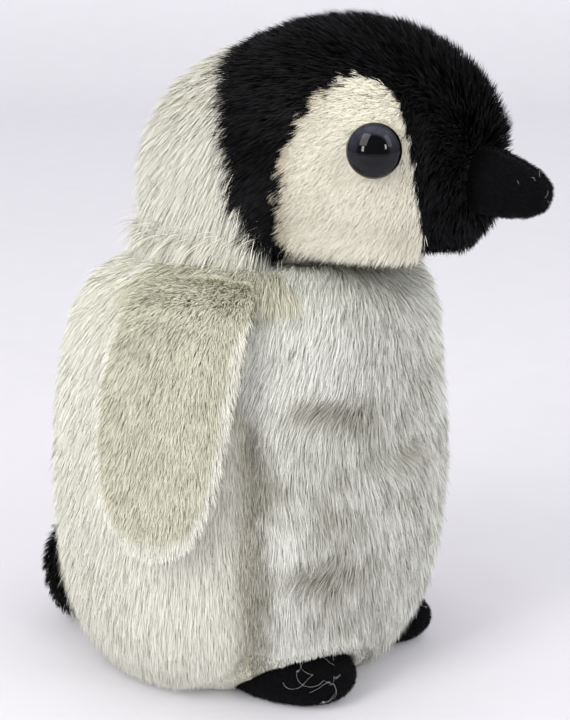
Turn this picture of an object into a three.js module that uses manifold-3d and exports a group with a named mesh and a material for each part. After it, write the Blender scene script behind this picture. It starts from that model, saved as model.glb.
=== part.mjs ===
// A standing plush penguin chick, as its separate sewn pieces.
// Millimetres, +Z up, the beak points along -Y, the toy's own left side is +X.
// The origin is on the ground, under the middle of the toy's bounding box.
// Fur fabric is drawn as thick as its lying pile, so each panel's outside is where the fur ends.

import * as THREE from 'three';
import { mergeVertices } from 'three/addons/utils/BufferGeometryUtils.js';
import Module from 'manifold-3d';

const wasm = await Module();
wasm.setup();

// ---------------------------------------------------------------- driving dimensions

const AXIS_Y = 14.95;         // the torso's upright axis, behind the origin
const GAP = 0.3;              // clearance left between pieces that touch
const BIG = 400;              // larger than the toy, for cutting blocks
const FINE = 32;              // sides of the torso and the head
const SMALL = 20;             // sides of a small outer surface
const COARSE = 14;            // sides of a hidden round surface

// Torso: radius and forward lean of its round cross-section at each height.
const TORSO_SECTIONS = [
  { z: 0, radius: 39, lean: -1 },
  { z: 5, radius: 46.5, lean: -1 },
  { z: 20, radius: 55, lean: -0.5 },
  { z: 44, radius: 59, lean: 1 },
  { z: 74, radius: 59, lean: 1.5 },
  { z: 100, radius: 56, lean: 2.5 },
  { z: 116, radius: 51, lean: 5 },
  { z: 124.5, radius: 40, lean: 7 },
  { z: 127.5, radius: 27, lean: 9 },
];
const TORSO_TOP = TORSO_SECTIONS.at(-1).z;
const TORSO_STEPS = 14;       // rings up the torso's side
const BODY_PILE = 6;          // thickness of the body's long fur fabric
const BASE_RADIUS = 33;
const BASE_THICKNESS = 1.6;
const BASE_HEM = 1;           // how far above the base the side panels' lower edge is turned in
const SHOULDER_SEAM = 3;      // thickness of the panels where they close at the top
const SEAM_ANGLE = 58;        // the belly panel's side seams, degrees from the front
const PELLET_LEVEL = 26;      // height of the weighting pellets' bag

// Neck: the ball of stuffing on which the head turns and nods.
const NECK = new THREE.Vector3(0, AXIS_Y - 10, 128);
const NECK_RADIUS = 22;
const NECK_PLAY = 1;          // room around the ball, so that it turns freely

// Head: a smooth union of egg-shaped lobes, cut flat underneath.
const HEAD_CENTRE = new THREE.Vector3(0, AXIS_Y - 26, 155);
const HEAD_LOBES = [
  { y: AXIS_Y - 34, z: 158.5, half: [35, 46, 35] },     // skull
  { y: AXIS_Y - 7, z: 145, half: [35.5, 37, 39] },      // nape
  { y: AXIS_Y - 46, z: 149, half: [31, 34, 27] },       // cheeks and muzzle
];
const LOBE_BLEND = 2.2;       // softness of the valleys between the lobes
const HEAD_BOTTOM = 130.5;    // the flat underside, just clear of the torso
const HEAD_PILE = 5;
const NAPE_LINE = [           // rear edge of the black hood, seen from the side: forward, height
  [-5, 205], [3, 186], [12, 168], [15.5, 150], [20, 136], [31, 120],
];
const CHEEK = {
  forward: 47.8, z: 149.5, halfLength: 17.3, halfHeight: 28, lean: 0.06, narrow: 0.2, squareness: 2.3,
};
const CHEEK_INNER_X = 6;      // the patch is cut from outside this distance from the middle

// Eyes: glossy plastic safety eyes with a shank and a washer.
const EYE = { forward: 57.5, z: 160.5, radius: 7.3, dome: 4.4, proud: 0.8, shank: 1.7, shankLength: 9 };
const EYE_FLANGE = 1.6;       // thickness of the plastic disc under the dome
const EYE_LIP = 0.4;          // upright edge of the dome
const EYE_OPENING = 12;       // how far the cut for an eye reaches out, past the fur

const WASHER = { radius: 6.5, thickness: 1.2, depth: 6.8 };

// Beak: a stuffed felt cone, sewn from two halves.
const BEAK = { forward: 67, z: 152.3, radius: 9.6, length: 28.5, droop: 12, felt: 1.2 };

// Wings: flat padded flippers that hang from the shoulders.
const WING = {
  angle: 81, top: 125, length: 72, halfWidth: 18.5, taper: 0.22, sweep: 0, flare: 0.07,
  thickness: 9, topSquareness: 5, endSquareness: 2.7,
};
const FLAP_CLEARANCE = 0.9;   // between a hanging flap and the torso behind it
const FLAP_SKIN = 2.4;        // thickness of a flap's outer and inner fabric
const FLAP_EDGE_DROP = 0.85;  // how much thinner a flap is at its edge, as a share of its square
const FLAP_HOLLOW = 0.8;      // how far out the hollow between a flap's two fabrics goes
const BATTING_REACH = 0.72;   // how far out the batting in that hollow goes
const BATTING_FILL = 0.62;    // how much of the hollow's height the batting fills

// Feet: felt pads that stick out under the belly.
const FOOT = { x: 23, forward: 25.5, z: 7, half: [16, 25, 10.5], toeOut: 10, felt: 1.3 };
const FOOT_PLAY = 0.6;        // clearance around a foot under the torso

// Tail: a short black flap that hangs low on the back.
const TAIL = {
  angle: 180, top: 33, length: 32, halfWidth: 26, taper: 0.25, sweep: 0, flare: 0.2,
  thickness: 6, topSquareness: 2.4, endSquareness: 2.4,
};

// ---------------------------------------------------------------- materials

const material = (color, roughness) => new THREE.MeshStandardMaterial({ color, roughness, metalness: 0 });
const CREAM_FUR = [0xdcdacb, 0.95];
const GREY_FUR = [0xb9bbb0, 0.95];
const NAPE_FUR = [0xc9c7b8, 0.95];
const BLACK_FUR = [0x141316, 0.9];
const IVORY_FUR = [0xe2dcc6, 0.95];
const TAUPE_FUR = [0xc1bfac, 0.95];
const BLACK_FELT = [0x121114, 0.98];
const BLACK_PLASTIC = [0x0b0b0d, 0.3];
const EYE_GLASS = [0x4c4d57, 0.08];
const STUFFING = [0xf0f0ee, 1];
const PELLETS = [0xd9d9d4, 0.7];

// ---------------------------------------------------------------- solids

/** Joins a closed geometry's shared vertices and makes it a manifold-3d solid. */
function toSolid(geometry) {
  const bare = geometry.clone();
  bare.deleteAttribute('normal');
  bare.deleteAttribute('uv');
  const merged = mergeVertices(bare, 1e-4);
  return new wasm.Manifold(new wasm.Mesh({
    numProp: 3,
    vertProperties: Float32Array.from(merged.attributes.position.array),
    triVerts: Uint32Array.from(merged.index.array),
  }));
}

function toGeometry(solid) {
  const mesh = solid.getMesh();
  const geometry = new THREE.BufferGeometry();
  geometry.setAttribute('position', new THREE.BufferAttribute(Float32Array.from(mesh.vertProperties), 3));
  geometry.setIndex(new THREE.BufferAttribute(Uint32Array.from(mesh.triVerts), 1));
  geometry.computeVertexNormals();
  return geometry;
}

const middleOf = (points) => points
  .reduce((sum, point) => sum.add(point), new THREE.Vector3())
  .divideScalar(points.length);

/** A closed body through rings of points, each quad split along its shorter diagonal. */
function loft(rings, first = middleOf(rings[0]), last = middleOf(rings.at(-1))) {
  const points = rings.flat();
  const spokes = rings[0].length;
  const faces = [];
  for (let ring = 0; ring + 1 < rings.length; ring += 1) {
    for (let i = 0; i < spokes; i += 1) {
      const a = ring * spokes + i;
      const b = ring * spokes + (i + 1) % spokes;
      const [c, d] = [b + spokes, a + spokes];
      const alongFirst = points[a].distanceTo(points[c]) < points[b].distanceTo(points[d]);
      faces.push(...(alongFirst ? [a, b, c, a, c, d] : [a, b, d, b, c, d]));
    }
  }
  const addFan = (tip, start, facesUp) => {
    const middle = points.length;
    points.push(tip);
    for (let i = 0; i < spokes; i += 1) {
      const a = start + i;
      const b = start + (i + 1) % spokes;
      faces.push(...(facesUp ? [middle, a, b] : [middle, b, a]));
    }
  };
  addFan(first, 0, false);
  addFan(last, (rings.length - 1) * spokes, true);
  const geometry = new THREE.BufferGeometry().setFromPoints(points);
  geometry.setIndex(faces);
  return toSolid(geometry);
}

/** A ring of so many points, each placed by its angle. */
function ring(spokes, place) {
  return Array.from({ length: spokes }, (_, i) => place((i / spokes) * 2 * Math.PI));
}

/** A point of a rounded outline, from an ellipse at a squareness of 2 towards a box. */
function squared(angle, squareness) {
  return [Math.cos(angle), Math.sin(angle)].map(
    (value) => Math.sign(value) * Math.abs(value) ** (2 / squareness),
  );
}

function block(x0, x1, y0, y1, z0, z1) {
  const box = new THREE.BoxGeometry(x1 - x0, y1 - y0, z1 - z0);
  return toSolid(box.translate((x0 + x1) / 2, (y0 + y1) / 2, (z0 + z1) / 2));
}

const above = (z) => block(-BIG, BIG, -BIG, BIG, z, BIG);
const below = (z) => block(-BIG, BIG, -BIG, BIG, -BIG, z);

function ball(centre, radius) {
  return toSolid(new THREE.SphereGeometry(radius, SMALL, SMALL / 2).translate(centre.x, centre.y, centre.z));
}

/** A side-view outline of (forward, height) points, extruded along X from x0 to x1. */
function sidePrism(outline, x0, x1) {
  const shape = new THREE.Shape(outline.map(([forward, z]) => new THREE.Vector2(AXIS_Y - forward, z)));
  const prism = new THREE.ExtrudeGeometry(shape, { depth: x1 - x0, bevelEnabled: false });
  // The shape's own x and y become Y and Z, and its depth becomes X.
  const turn = new THREE.Matrix4().makeBasis(
    new THREE.Vector3(0, 1, 0),
    new THREE.Vector3(0, 0, 1),
    new THREE.Vector3(1, 0, 0),
  );
  return toSolid(prism.applyMatrix4(turn).translate(x0, 0, 0));
}

// ---------------------------------------------------------------- the toy's pieces

const toy = new THREE.Group();

function addPiece(name, solid, [color, roughness]) {
  const mesh = new THREE.Mesh(toGeometry(solid), material(color, roughness));
  mesh.name = name;
  toy.add(mesh);
}

const SIDES = [
  { side: 'left', sign: 1 },
  { side: 'right', sign: -1 },
];

const mirrored = (solid, sign) => (sign > 0 ? solid : solid.mirror([1, 0, 0]));

// ---------------------------------------------------------------- torso

const torsoCurve = new THREE.CatmullRomCurve3(
  TORSO_SECTIONS.map(({ z, radius, lean }) => new THREE.Vector3(radius, lean, z)),
  false,
  'centripetal',
);
const torsoSamples = torsoCurve.getSpacedPoints(TORSO_STEPS);

/** The torso's radius and axis at a height, read off its profile. */
function torsoAt(z) {
  const upper = Math.max(1, torsoSamples.findIndex((p) => p.z >= z));
  const [low, high] = [torsoSamples[upper - 1], torsoSamples[upper]];
  const t = THREE.MathUtils.clamp((z - low.z) / (high.z - low.z), 0, 1);
  return {
    radius: THREE.MathUtils.lerp(low.x, high.x, t),
    y: AXIS_Y - THREE.MathUtils.lerp(low.y, high.y, t),
  };
}

/** The torso as a solid, with its wall moved in by an inset and its ends at the heights given. */
function torsoSolid(sides, inset, bottom, top) {
  const samples = torsoSamples.filter((_, i) => sides === FINE || i % 2 === 0);
  return loft(samples.map((sample) => {
    const z = THREE.MathUtils.mapLinear(sample.z, 0, TORSO_TOP, bottom, top);
    return ring(sides, (angle) => new THREE.Vector3(
      (sample.x - inset) * Math.cos(angle),
      AXIS_Y - sample.y + (sample.x - inset) * Math.sin(angle),
      z,
    ));
  }));
}

/** An upright wedge between two angles from the front, half a gap short of each. */
function wedge(from, to) {
  const degrees = THREE.MathUtils.degToRad;
  const direction = (angle) => new THREE.Vector2(Math.sin(degrees(angle)), -Math.cos(degrees(angle)));
  const halfSpan = (to - from) / 2;
  const apex = direction(from + halfSpan).multiplyScalar(GAP / 2 / Math.sin(degrees(halfSpan)));
  const corner = (angle) => direction(angle).multiplyScalar(BIG).add(apex);
  const shape = new THREE.Shape([apex, corner(from), corner(from + halfSpan), corner(to)]);
  const prism = new THREE.ExtrudeGeometry(shape, { depth: BIG, bevelEnabled: false });
  return toSolid(prism.translate(0, AXIS_Y, -BIG / 2));
}

const neckSeat = ball(NECK, NECK_RADIUS + NECK_PLAY);

/** A foot's solid, grown by an amount and standing on the ground. */
function footSolid(sign, grown) {
  const [a, b, c] = FOOT.half;
  const sides = grown < 0 ? COARSE : SMALL;
  const pad = new THREE.SphereGeometry(1, sides, sides / 2);
  pad.scale(a + grown, b + grown, c + grown);
  pad.rotateZ(THREE.MathUtils.degToRad(FOOT.toeOut * sign));
  pad.translate(FOOT.x * sign, AXIS_Y - FOOT.forward, FOOT.z);
  return toSolid(pad);
}

function addTorso() {
  const feet = footSolid(1, FOOT_PLAY).add(footSolid(-1, FOOT_PLAY));
  const outside = torsoSolid(FINE, 0, 0, TORSO_TOP);
  const hem = BASE_THICKNESS + BASE_HEM;
  const inside = torsoSolid(COARSE, BODY_PILE, hem, TORSO_TOP - SHOULDER_SEAM);
  const baseDisc = (radius, top) => toSolid(
    new THREE.CylinderGeometry(radius, radius, top * 2, FINE)
      .rotateX(Math.PI / 2)
      .translate(0, AXIS_Y, 0),
  ).intersect(above(0));
  const shell = outside.subtract(inside)
    .subtract(neckSeat)
    .subtract(baseDisc(BASE_RADIUS + GAP, hem))
    .subtract(feet);
  addPiece('belly_panel', shell.intersect(wedge(-SEAM_ANGLE, SEAM_ANGLE)), GREY_FUR);
  addPiece('back_left_panel', shell.intersect(wedge(SEAM_ANGLE, 180)), CREAM_FUR);
  addPiece('back_right_panel', shell.intersect(wedge(180, 360 - SEAM_ANGLE)), CREAM_FUR);
  addPiece('base_panel', baseDisc(BASE_RADIUS, BASE_THICKNESS).subtract(feet), GREY_FUR);

  const filling = torsoSolid(COARSE, BODY_PILE + GAP, hem + GAP, TORSO_TOP - SHOULDER_SEAM - GAP)
    .subtract(neckSeat)
    .subtract(feet);
  addPiece('torso_stuffing', filling.intersect(above(PELLET_LEVEL + GAP)), STUFFING);
  addPiece('pellet_bag', filling.intersect(below(PELLET_LEVEL)), PELLETS);
  addPiece('neck_stuffing', ball(NECK, NECK_RADIUS), STUFFING);
}

function addFeet() {
  for (const { side, sign } of SIDES) {
    const outside = footSolid(sign, 0);
    const inside = footSolid(sign, -FOOT.felt);
    const soleTop = FOOT.felt;
    addPiece(`foot_${side}_sole`, outside.intersect(above(0)).intersect(below(soleTop)), BLACK_FELT);
    addPiece(`foot_${side}_upper`, outside.subtract(inside).intersect(above(soleTop + GAP)), BLACK_FELT);
    const pad = footSolid(sign, -FOOT.felt - GAP);
    addPiece(`foot_${side}_stuffing`, pad.intersect(above(soleTop + GAP)), STUFFING);
  }
}

// ---------------------------------------------------------------- head

/** How far the head's surface is from its centre along a direction, with the lobes inset. */
function headReach(direction, inset) {
  const reaches = HEAD_LOBES.map(({ y, z, half }) => {
    const radii = new THREE.Vector3(...half).subScalar(inset);
    const from = HEAD_CENTRE.clone().sub(new THREE.Vector3(0, y, z)).divide(radii);
    const along = direction.clone().divide(radii);
    const a = along.lengthSq();
    const b = from.dot(along);
    const c = from.lengthSq() - 1;
    return (-b + Math.sqrt(Math.max(b * b - a * c, 0))) / a;
  });
  const sum = reaches.reduce((total, reach) => total + Math.exp(reach / LOBE_BLEND), 0);
  return LOBE_BLEND * Math.log(sum);
}

function headSolid(sides, inset) {
  const globe = new THREE.SphereGeometry(1, sides, Math.round(sides * 0.55)).rotateX(Math.PI / 2);
  const position = globe.attributes.position;
  for (let i = 0; i < position.count; i += 1) {
    const direction = new THREE.Vector3().fromBufferAttribute(position, i).normalize();
    const point = direction.clone().multiplyScalar(headReach(direction, inset)).add(HEAD_CENTRE);
    position.setXYZ(i, point.x, point.y, point.z);
  }
  return toSolid(globe);
}

/** Everything behind the hood's rear edge, moved back by an amount. */
function napeRegion(back) {
  const edge = NAPE_LINE.map(([forward, z]) => new THREE.Vector2(forward - back, z));
  const line = new THREE.SplineCurve(edge).getPoints(12).map((p) => [p.x, p.y]);
  return sidePrism([...line, [-BIG, line.at(-1)[1]], [-BIG, line[0][1]]], -BIG, BIG);
}

/** The egg-shaped cheek patch's region on the left side, grown by an amount. */
function cheekRegion(grown) {
  const outline = [];
  const steps = 30;
  for (let i = 0; i < steps; i += 1) {
    const angle = (i / steps) * 2 * Math.PI;
    const [right, up] = squared(angle, CHEEK.squareness);
    const height = up * (CHEEK.halfHeight + grown);
    const across = right * (CHEEK.halfLength + grown) * (1 - CHEEK.narrow * up);
    outline.push([CHEEK.forward + across + height * CHEEK.lean, CHEEK.z + height]);
  }
  return sidePrism(outline, CHEEK_INNER_X, BIG);
}

/** Where the left eye sits on the head, and the direction in which it looks. */
function eyeSeat() {
  const onSurface = (forward, z) => {
    // The surface point at this side-view position, found by stepping the direction sideways.
    let x = 30;
    for (let step = 0; step < 20; step += 1) {
      const ray = new THREE.Vector3(x, AXIS_Y - forward, z).sub(HEAD_CENTRE);
      x *= headReach(ray.clone().normalize(), 0) / ray.length();
    }
    return new THREE.Vector3(x, AXIS_Y - forward, z);
  };
  const reach = 4;
  const along = onSurface(EYE.forward + reach, EYE.z).sub(onSurface(EYE.forward - reach, EYE.z));
  const upward = onSurface(EYE.forward, EYE.z + reach).sub(onSurface(EYE.forward, EYE.z - reach));
  return { point: onSurface(EYE.forward, EYE.z), outward: upward.cross(along).normalize() };
}

const eye = eyeSeat();

/** A turned piece whose axis is the left eye's, with 0 at the head's surface and + outward. */
function turnedAtEye(profile) {
  const lathe = new THREE.LatheGeometry(profile.map(([r, h]) => new THREE.Vector2(r, h)), SMALL);
  const turn = new THREE.Quaternion().setFromUnitVectors(new THREE.Vector3(0, 1, 0), eye.outward);
  return toSolid(lathe.applyQuaternion(turn).translate(eye.point.x, eye.point.y, eye.point.z));
}

/** A domed profile from its rim to the axis, height h over base b. */
function domeProfile(radius, base, height) {
  const profile = [[0, base]];
  const steps = 5;
  for (let i = 0; i <= steps; i += 1) {
    const angle = (i / steps) * (Math.PI / 2);
    profile.push([radius * Math.cos(angle), base + EYE_LIP + height * Math.sin(angle)]);
  }
  profile.at(-1)[0] = 0;
  return profile;
}

const eyeBack = EYE.proud - EYE_FLANGE;

/** The space that the left eye, its shank and its washer need inside the head. */
function eyeSpace() {
  const { radius, shankLength } = EYE;
  const rim = radius + GAP;
  const floor = eyeBack - GAP;
  const seat = turnedAtEye([[0, floor], [rim, floor], [rim, EYE_OPENING], [0, EYE_OPENING]]);
  const bore = EYE.shank + GAP;
  const hole = turnedAtEye([[0, -shankLength - 1], [bore, -shankLength - 1], [bore, 1], [0, 1]]);
  const { radius: wide, thickness, depth } = WASHER;
  const low = -depth - thickness - GAP;
  const high = -depth + GAP;
  return seat.add(hole).add(turnedAtEye([[0, low], [wide + GAP, low], [wide + GAP, high], [0, high]]));
}

function addEyes() {
  const { radius, proud, dome, shank, shankLength } = EYE;
  const lens = turnedAtEye(domeProfile(radius, proud, dome));
  const backTop = proud - GAP;
  const stem = turnedAtEye([
    [0, -shankLength],
    [shank, -shankLength],
    [shank, eyeBack],
    [radius - GAP, eyeBack],
    [radius - GAP, backTop],
    [0, backTop],
  ]);
  const bore = shank + GAP / 2;
  const washer = turnedAtEye([
    [bore, -WASHER.depth],
    [bore, -WASHER.depth - WASHER.thickness],
    [WASHER.radius, -WASHER.depth - WASHER.thickness],
    [WASHER.radius, -WASHER.depth],
    [bore, -WASHER.depth],
  ]);
  for (const { side, sign } of SIDES) {
    addPiece(`eye_${side}_dome`, mirrored(lens, sign), EYE_GLASS);
    addPiece(`eye_${side}_stem`, mirrored(stem, sign), BLACK_PLASTIC);
    addPiece(`eye_${side}_washer`, mirrored(washer, sign), BLACK_PLASTIC);
  }
}

/** The beak as a solid, with its surface moved out by an amount. */
function beakSolid(grown) {
  const { radius, length } = BEAK;
  const profile = [
    [0, 0],
    [radius, 0],
    [radius * 0.98, length * 0.35],
    [radius * 0.87, length * 0.6],
    [radius * 0.7, length * 0.82],
    [radius * 0.42, length * 0.96],
    [0, length],
  ].map(([r, h]) => new THREE.Vector2(r > 0 ? r + grown : 0, h === 0 ? -grown : h + grown));
  const cone = new THREE.LatheGeometry(profile, grown < 0 ? COARSE : SMALL);
  // The lathe's axis turns from +Y to forward, and then down by the droop.
  cone.rotateX(Math.PI + THREE.MathUtils.degToRad(BEAK.droop));
  return toSolid(cone.translate(0, AXIS_Y - BEAK.forward, BEAK.z));
}

function addBeak() {
  const shell = beakSolid(0).subtract(beakSolid(-BEAK.felt));
  addPiece('beak_left_felt', shell.intersect(block(GAP / 2, BIG, -BIG, BIG, -BIG, BIG)), BLACK_FELT);
  addPiece('beak_right_felt', shell.intersect(block(-BIG, -GAP / 2, -BIG, BIG, -BIG, BIG)), BLACK_FELT);
  addPiece('beak_stuffing', beakSolid(-BEAK.felt - GAP), STUFFING);
}

function addHead() {
  const eyeSpaces = eyeSpace().add(mirrored(eyeSpace(), -1));
  const holes = neckSeat.add(eyeSpaces).add(beakSolid(GAP));
  const shell = headSolid(FINE, 0)
    .subtract(headSolid(COARSE, HEAD_PILE).intersect(above(HEAD_BOTTOM + HEAD_PILE)))
    .intersect(above(HEAD_BOTTOM))
    .subtract(holes);
  addPiece('nape_panel', shell.intersect(napeRegion(GAP)), NAPE_FUR);
  const cheek = shell.intersect(cheekRegion(0)).subtract(napeRegion(0));
  for (const { side, sign } of SIDES) {
    addPiece(`cheek_${side}_panel`, sign > 0 ? cheek : shell.intersect(mirrored(cheek, -1)), IVORY_FUR);
    const half = block(GAP / 2, BIG, -BIG, BIG, -BIG, BIG);
    const hood = shell.subtract(napeRegion(0)).subtract(mirrored(cheekRegion(GAP), sign));
    addPiece(`hood_${side}_panel`, hood.intersect(mirrored(half, sign)), BLACK_FUR);
  }
  const filling = headSolid(COARSE, HEAD_PILE + GAP)
    .intersect(above(HEAD_BOTTOM + HEAD_PILE + GAP))
    .subtract(holes);
  addPiece('head_stuffing', filling, STUFFING);
}

// ---------------------------------------------------------------- wings and tail

/** A closed slab between two heights, as far out as a share of the outline, which is at 1. */
function slab(place, reach, low, high) {
  const shares = [0.4, 0.7, 0.88, 1].map((share) => share * reach);
  const sheet = (height, list) => list.map(
    (share) => ring(SMALL, (angle) => place(share, angle, height(share))),
  );
  const rings = [...sheet(low, shares), ...sheet(high, shares.reverse())];
  return loft(rings, place(0, 0, low(0)), place(0, 0, high(0)));
}

/** A point of a flap: a share of the way out to its outline, and a height over the torso. */
function onFlap(flap, share, angle, height) {
  const squareness = Math.cos(angle) > 0 ? flap.topSquareness : flap.endSquareness;
  const [up, aside] = squared(angle, squareness);
  const down = flap.length * (0.5 - 0.5 * share * up);
  const width = flap.halfWidth * (1 - flap.taper * (down / flap.length) ** 1.5);
  const across = share * aside * width;
  const z = flap.top - down;
  const torso = torsoAt(z);
  const radius = torso.radius + FLAP_CLEARANCE + flap.flare * down + height;
  const turn = THREE.MathUtils.degToRad(flap.angle) - (across - flap.sweep * down) / torso.radius;
  return new THREE.Vector3(radius * Math.sin(turn), torso.y - radius * Math.cos(turn), z);
}

/** A padded flap's outer skin, inner skin and batting. */
function flapPieces(flap) {
  const middle = flap.thickness / 2;
  const full = (share) => middle * Math.sqrt(1 - FLAP_EDGE_DROP * share ** 4);
  const core = (share) => full(share) - FLAP_SKIN;
  const hollow = (share) => (share > FLAP_HOLLOW ? GAP : core(share) + GAP);
  const fill = (share) => core(share) * BATTING_FILL;
  const place = (share, angle, height) => onFlap(flap, share, angle, height);
  return {
    outer: slab(place, 1, (share) => middle + hollow(share), (share) => middle + full(share)),
    inner: slab(place, 1, (share) => middle - full(share), (share) => middle - hollow(share)),
    batting: slab(place, BATTING_REACH, (share) => middle - fill(share), (share) => middle + fill(share)),
  };
}

function addWings() {
  const { outer, inner, batting } = flapPieces(WING);
  for (const { side, sign } of SIDES) {
    addPiece(`wing_${side}_outer`, mirrored(outer, sign), TAUPE_FUR);
    addPiece(`wing_${side}_inner`, mirrored(inner, sign), CREAM_FUR);
    addPiece(`wing_${side}_stuffing`, mirrored(batting, sign), STUFFING);
  }
}

function addTail() {
  const { outer, inner, batting } = flapPieces(TAIL);
  addPiece('tail_outer', outer, BLACK_FUR);
  addPiece('tail_inner', inner, BLACK_FELT);
  addPiece('tail_stuffing', batting, STUFFING);
}

addTorso();
addFeet();
addHead();
addEyes();
addBeak();
addWings();
addTail();

export default toy;
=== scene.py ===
"""The looks of a standing plush penguin chick.

Each sewn part is a padded skin inside the outline of its CAD panels, and pile fur grows on it,
strand by strand, as the real fabric's does. Felt, plastic eyes and lint are built the same way.
Everything is in metres, in the CAD's own frame: -Y is forward and +X is the toy's left.
"""

import itertools
import math

import bmesh
import bpy
import numpy as np
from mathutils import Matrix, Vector
from mathutils.bvhtree import BVHTree
from mathutils.kdtree import KDTree


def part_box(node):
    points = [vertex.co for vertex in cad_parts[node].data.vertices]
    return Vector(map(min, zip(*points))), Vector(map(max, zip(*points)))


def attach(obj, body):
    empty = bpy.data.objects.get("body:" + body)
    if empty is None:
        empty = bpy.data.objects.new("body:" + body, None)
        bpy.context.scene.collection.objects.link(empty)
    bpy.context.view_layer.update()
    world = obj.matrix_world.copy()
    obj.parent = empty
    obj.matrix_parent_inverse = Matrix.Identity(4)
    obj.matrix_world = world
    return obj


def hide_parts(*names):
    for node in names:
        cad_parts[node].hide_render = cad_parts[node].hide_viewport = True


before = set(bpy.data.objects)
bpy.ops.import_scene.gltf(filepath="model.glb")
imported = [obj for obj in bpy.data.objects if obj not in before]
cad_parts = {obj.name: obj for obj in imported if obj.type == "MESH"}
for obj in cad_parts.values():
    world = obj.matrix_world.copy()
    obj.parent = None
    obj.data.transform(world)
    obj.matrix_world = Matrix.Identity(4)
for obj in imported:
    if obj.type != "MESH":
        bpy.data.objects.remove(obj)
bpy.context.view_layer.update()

MM = 0.001
UP = np.array([0.0, 0.0, 1.0])
FORWARD = np.array([0.0, -1.0, 0.0])
SIDES = ("left", "right")


# ---------------------------------------------------------------- camera and studio

CAMERA_AZIMUTH = -60          # degrees; the camera stands off the toy's right cheek
CAMERA_DISTANCE = 0.480       # along the ground
CAMERA_HEIGHT = 0.215
CAMERA_LENS = 83.125          # mm, with the long side of the picture on 36 mm
AIM = Vector((0.0013, 0.0024, 0.0918))


def add_object(name, data):
    obj = bpy.data.objects.new(name, data)
    bpy.context.scene.collection.objects.link(obj)
    return obj


def look_at(obj, target):
    obj.rotation_euler = (target - obj.location).to_track_quat("-Z", "Y").to_euler()


def make_camera():
    camera = add_object("camera", bpy.data.cameras.new("camera"))
    angle = math.radians(CAMERA_AZIMUTH)
    camera.location = (
        AIM.x + math.sin(angle) * CAMERA_DISTANCE,
        AIM.y - math.cos(angle) * CAMERA_DISTANCE,
        CAMERA_HEIGHT,
    )
    look_at(camera, AIM)
    camera.data.sensor_fit = "AUTO"
    camera.data.lens = CAMERA_LENS
    camera.data.clip_start = 0.01
    camera.data.clip_end = 50
    bpy.context.scene.camera = camera


def area_light(name, azimuth, elevation, distance, size, power, colour=(1, 1, 1)):
    """A rectangular softbox that faces the toy from that direction."""
    light = bpy.data.lights.new(name, "AREA")
    light.shape = "RECTANGLE"
    light.size, light.size_y = size
    light.energy = power
    light.color = colour
    obj = add_object(name, light)
    a, e = math.radians(azimuth), math.radians(elevation)
    toward = Vector((math.sin(a) * math.cos(e), -math.cos(a) * math.cos(e), math.sin(e)))
    obj.location = AIM + toward * distance
    look_at(obj, AIM)


def make_studio():
    """A pale sweep of floor and wall under soft light."""
    bm = bmesh.new()
    steps = 16
    radius, reach, width = 0.5, 1.6, 6.0
    profile = [(-3.0, 0.0), (reach, 0.0)]
    for i in range(1, steps + 1):
        turn = i / steps * math.pi / 2
        profile.append((reach + radius * math.sin(turn), radius * (1 - math.cos(turn))))
    profile.append((reach + radius, 3.5))
    angle = math.radians(CAMERA_AZIMUTH)
    away = Vector((-math.sin(angle), math.cos(angle), 0))
    side = Vector((math.cos(angle), math.sin(angle), 0))
    rows = [
        [bm.verts.new(away * d + side * s + Vector((0, 0, h))) for s in (-width / 2, width / 2)]
        for d, h in profile
    ]
    for (a, b), (c, d) in zip(rows, rows[1:]):
        bm.faces.new((a, b, d, c)).smooth = True
    mesh = bpy.data.meshes.new("sweep")
    bm.to_mesh(mesh)
    bm.free()
    sweep = add_object("sweep", mesh)
    paper = new_material("sweep_paper")
    height = node(paper, "ShaderNodeSeparateXYZ")
    paper.node_tree.links.new(object_position(paper), height.inputs["Vector"])
    # Painted light: the paper is darker on the floor and lighter up the wall, to even out the lamps that
    # light mostly the floor.
    painted_light_by_height = ramp(paper, height.outputs["Z"], [(0.0, (0.67, 0.66, 0.685)), (0.5, (0.97, 0.96, 0.985))])
    speckle = noise_colour(paper, 40, (0.98, 0.98, 0.98), (1, 1, 1))
    colour = mix(paper, 1.0, painted_light_by_height, speckle, "MULTIPLY")
    link(paper, colour, "Base Color")
    # Painted light: the paper also glows faintly in its own colour, though it is no lamp.
    link(paper, colour, "Emission Color")
    value(paper, "Emission Strength", 0.1)
    value(paper, "Roughness", 0.9)
    mesh.materials.append(paper)

    world = bpy.data.worlds.new("studio")
    bpy.context.scene.world = world
    world.use_nodes = True
    background = world.node_tree.nodes["Background"]
    background.inputs["Color"].default_value = (0.97, 0.965, 1.0, 1)
    strength = node(world, "ShaderNodeMapRange", **{"To Min": 1.03, "To Max": 0.2})
    rays = node(world, "ShaderNodeLightPath")
    world.node_tree.links.new(rays.outputs["Is Glossy Ray"], strength.inputs["Value"])
    world.node_tree.links.new(strength.outputs["Result"], background.inputs["Strength"])
    area_light("window", -100, 40, 1.1, (0.45, 0.7), 5, (1, 0.99, 0.96))
    area_light("front_fill", -15, 35, 1.3, (0.4, 0.8), 2.5, (0.97, 0.98, 1))
    area_light("left_pane", -97, 14, 1.0, (0.12, 0.24), 1.6)
    area_light("right_pane", -32, 20, 1.0, (0.09, 0.20), 1.2)
    bpy.context.scene.view_settings.view_transform = "Standard"


# ---------------------------------------------------------------- material building blocks


def new_material(name):
    material = bpy.data.materials.new(name)
    material.use_nodes = True
    return material


def shader(material):
    return material.node_tree.nodes["Principled BSDF"]


def value(material, socket, amount):
    shader(material).inputs[socket].default_value = amount


def link(material, output, socket):
    material.node_tree.links.new(output, shader(material).inputs[socket])


def node(material, kind, **inputs):
    made = material.node_tree.nodes.new(kind)
    for name, amount in inputs.items():
        made.inputs[name].default_value = amount
    return made


def attribute(material, name):
    made = material.node_tree.nodes.new("ShaderNodeAttribute")
    made.attribute_name = name
    return made.outputs["Fac"]


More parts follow.
